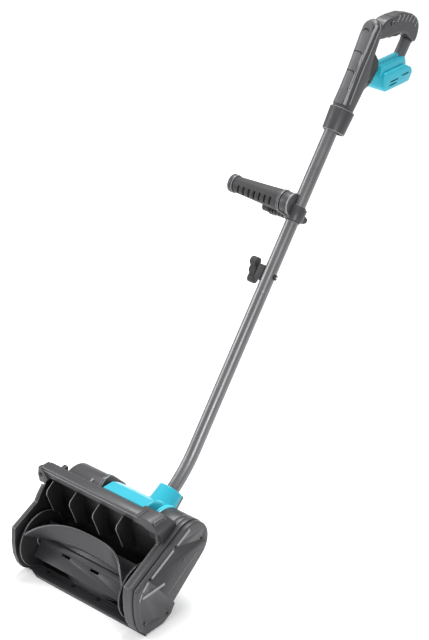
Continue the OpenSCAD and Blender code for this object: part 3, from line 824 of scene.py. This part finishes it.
LOOP = [(2, 905), (30, 918), (58, 941), (88, 954), (106, 952), (133, 948), (134.6, 962), (130, 976),
        (122, 989), (108, 996), (88, 996), (54, 984), (22, 964), (2, 945)]
for side_name, x0, x1 in (("left", -40, -0.2), ("right", 0.2, 40)):
    half = prism(f"half_{side_name}", [(-80, 700), (200, 700), (200, 1100), (-80, 1100)], x0, x1, at_tube)
    body = handle_skin(f"handle_body_{side_name}", 750, 942)
    cut(body, half, keep="INTERSECT")
    wear(body, dark, grey_painted_highlight)
    settle(body, "machine", "dark_plastic", f"handle_shell_{side_name}")
bar = prism("handle_loop", softened(LOOP, 2), -14.5, 14.5, at_tube)
round_edges(bar, 3.5, 4, 40)
melt(bar, 1.2, 14)
wear(bar, dark)
settle(bar, "machine", "dark_plastic")
panel = handle_skin("front_panel_skin", 756, 936, 1.2)
front_view = prism("front_view", [(-30, 756), (8, 756), (12, 800), (12, 905), (9, 922), (2, 931),
                                  (-8, 934), (-30, 934)], -40, -7, seen_from_front)
cut(panel, front_view, keep="INTERSECT")
wear(panel, panel_grey)
# Each cut tool wears the black finish, which its cut walls take as painted shade.
for low, high, depth in ((782, 827, -13.6), (832, 868, -15.6)):
    scale_line = ([(-22, high), (-2, high)] + arc((0, high - 9), 9, 90, 0, 8)
                  + [(9, low + 14), (7, low + 6)])
    scale_cut = prism("scale_line", band(scale_line, 2.6), -40, depth, seen_from_front)
    wear(scale_cut, inner)
    cut(panel, scale_cut)
moon = arc((-3, 910), 8, 15, 165, 12) + arc((-3, 903), 10.5, 140, 40, 12)
crescent = prism("crescent", moon, -40, -19.5, seen_from_front)
# The crescent's walls are black as painted shade too.
wear(crescent, inner)
cut(panel, crescent)
settle(panel, "machine", "soft_rubber", "front_panel")
# A black skin just under the panel shows through the cuts as painted shade in the grooves.
shadow_skin = handle_skin("panel_groove_painted_shade", 757, 938, 0.35)
shadow_view = prism("front_view", [(-30, 757), (9, 757), (13, 800), (13, 905), (9.6, 924),
                                   (2, 933), (-30, 933)], -40, -8, seen_from_front)
cut(shadow_skin, shadow_view, keep="INTERSECT")
wear(shadow_skin, inner)
settle(shadow_skin, "machine", "soft_rubber")
print("handle body, panel and loop")

# %% [markdown]
# Two slim ridges run the length of the body beside the panel and catch the light; their lighter
# grey is a painted highlight. They are cut from larger copies of the same skin, so they follow the
# body. Behind the body a dark neck fills the corner towards the battery housing.

# %% Ridges, collar and neck
for number, (back, width, low, high) in enumerate(((-14.5, 2.2, 757, 930), (-5.5, 1.8, 762, 940))):
    ridge = handle_skin(f"side_ridge_{number}", 752, 938, 1.2)
    edge_line = [(back + 1.5, low), (back, 800), (back - 3, 860), (back - 5.5, 910), (back - 4, high)]
    ridge_view = prism("ridge_view", band(edge_line, width), 8, 40, at_tube)
    cut(ridge, ridge_view, keep="INTERSECT")
    # The ridges are lighter grey as a painted highlight.
    wear(ridge, grey_painted_highlight)
    settle(ridge, "machine", "dark_plastic")
neck = prism("handle_neck", [(12, 884), (40, 874), (50, 858), (46, 826), (34, 806), (18, 800)],
             -13, 13, at_tube)
round_edges(neck, 2.5, 3, 30)
wear(neck, inner)
settle(neck, "machine", "dark_plastic")
eased("handle_collar", 1.4, dark, grey_painted_highlight)
joint_line = rod("collar_line", at_tube(0, 6.5, 748.5), at_tube(0, 6.5, 751.5), 21, 21)
wear(joint_line, inner)
settle(joint_line, "machine", "dark_plastic")

# %% [markdown]
# The upper bar has a soft cover with six ribs across its right shoulder, lighter grey as a painted
# highlight, a small lock button through it and the trigger below. The post is a plain tube with a
# dark ring at its foot and a black ring at its top that is the painted shadow of the socket.

# %% Loop cover, ribs, button, trigger and post
cover_line = [(24, 964), (54, 983.5), (88, 995.2), (108, 995.2), (120, 987.5)]
grip_cover = prism("loop_cover", band(cover_line, 3.0), -11, 11, at_tube)
round_edges(grip_cover, 1.2, 2, 30)
wear(grip_cover, soft)
settle(grip_cover, "machine", "soft_rubber", "loop_grip")
LOOP_TOP = [(22, 964), (54, 984), (88, 996), (108, 996), (122, 989)]
for number in range(6):
    back = 46 + 13 * number
    top = between(LOOP_TOP, back)
    rib = rod(f"loop_rib_{number}", at_tube(13.0, back, top - 2.5),
              at_tube(14.6, back - 3, top - 17), 1.9, 1.2, sides=16)
    # The ribs are lighter grey as a painted highlight.
    wear(rib, grey_painted_highlight)
    settle(rib, "machine", "soft_rubber")
eased("lock_button", 0.8, inner, black_painted_highlight)
eased("trigger", 1.0, inner, black_painted_highlight)
POST_LOW, POST_HIGH = at_tube(0, 118.5, 900), at_tube(0, 120.5, 956)
post = rod("rear_post_tube", POST_LOW, POST_HIGH, 12.5)
wear(post, panel_grey, grey_painted_highlight)
round_edges(post, 1.5, 3, edge_slot=1)
settle(post, "machine", "dark_plastic", "rear_post")
# The top ring is black as the painted shadow of the socket under the bar; the foot ring is a dark ring.
for name, start, end in (("post_socket", 0.82, 0.9), ("post_foot", 0.01, 0.1)):
    ring = rod(name, POST_LOW.lerp(POST_HIGH, start), POST_LOW.lerp(POST_HIGH, end), 13.1)
    wear(ring, inner)
    round_edges(ring, 1, 2)
    settle(ring, "machine", "dark_plastic")

# %% [markdown]
# ## Battery housing
#
# The coloured housing is a spine with two steps along it over a wide box that is open below. The
# spine's section is drawn across and extruded along the bay, the box is drawn from the side, and
# both get rounded edges. Three shallow slots are sunk into the right wall of the box, and their
# walls and floors are dark teal as painted shade.


# %% Spine and box
def across_bay(d, x, z):
    """The frame for a section drawn as (across, up) and extruded along the bay."""
    return at_bay(x, d, z)


spine_section = [(-17, -12), (-16, 6), (-12, 9.5), (-7, 10), (-5, 15), (5, 15), (7, 10),
                 (12, 9.5), (16, 6), (17, -12)]
spine = prism("battery_spine", spine_section, -9, 80, across_bay)
end_slope = prism("end_slope", [(66, 40), (72, 17), (86, -12), (120, -12), (120, 40)],
                  -40, 40, at_bay)
root_slope = prism("root_slope", [(-60, -60), (-9, -20), (2, 40), (-60, 40)], -40, 40, at_bay)
cut(spine, end_slope, root_slope, rod("post_hole", POST_LOW, POST_HIGH, 13.4))
wear(spine, teal, teal_painted_highlight)
round_edges(spine, 1.4, 3, 24, edge_slot=1)
settle(spine, "machine", "teal_plastic")
tray = prism("battery_box", [(2, -47), (-4, -37), (0, -8), (76, -8), (94, -18), (96, -30),
                             (84, -47)], -25, 25, at_bay)
round_edges(tray, 4.8, 5, 24)
cavity = prism("cavity", [(11, -60), (11, -14), (83, -14), (83, -60)], -22, 22, at_bay)
SLOT_HIGH, SLOT_FLOOR = 3.4, 23.2
slots = []
for y0, y1, z in ((16, 46, -30), (14, 40, -37), (56, 82, -27)):
    slot_view = [(y0, z), (y1, z), (y1, z + SLOT_HIGH), (y0, z + SLOT_HIGH)]
    slots.append(prism("slot", softened(slot_view, 2), SLOT_FLOOR, 30, at_bay))
wear(tray, teal, teal_painted_highlight)
# The slot walls and floors take the dark teal as painted shade.
for slot_cut in slots:
    wear(slot_cut, teal_shadow)
cut(tray, cavity, *slots)
select_only(tray)
bpy.ops.object.shade_smooth_by_angle(angle=math.radians(35))
settle(tray, "machine", "teal_plastic", "battery_housing")
for number, (x, z) in enumerate(((19.5, -6.6), (-19.5, -6.6))):
    ledge_view = [(2, z - 2), (2, z + 0.8), (74, z + 0.8), (74, z - 2)]
    ledge = prism(f"box_ledge_{number}", ledge_view, x - 2.2, x + 2.2, at_bay)
    wear(ledge, teal, teal_painted_highlight)
    round_edges(ledge, 0.8, 2, edge_slot=1)
    settle(ledge, "machine", "teal_plastic")
print("battery housing")

# %% [markdown]
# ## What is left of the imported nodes
#
# Shafts, bearings, screws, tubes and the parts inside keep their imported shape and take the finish
# of what they are made of.

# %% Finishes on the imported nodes
FINISH_OF_SLOT = {"dark_plastic": dark, "black_plastic": inner, "soft_rubber": soft,
                  "teal_plastic": teal, "bright_steel": steel, "painted_tube": paint,
                  "circuit_board": board}
DARK_SCREWS = ("clamp_bolt", "joint_nut", "flange_screws", "scraper_screws", "handle_screws")
for row in frame["record"]["subparts"]:
    node = frame["nodes"][row["node"]]
    wear(node, inner if row["node"] in DARK_SCREWS else FINISH_OF_SLOT[row["material_slot"]])
    for face in node.data.polygons:
        face.material_index = 0
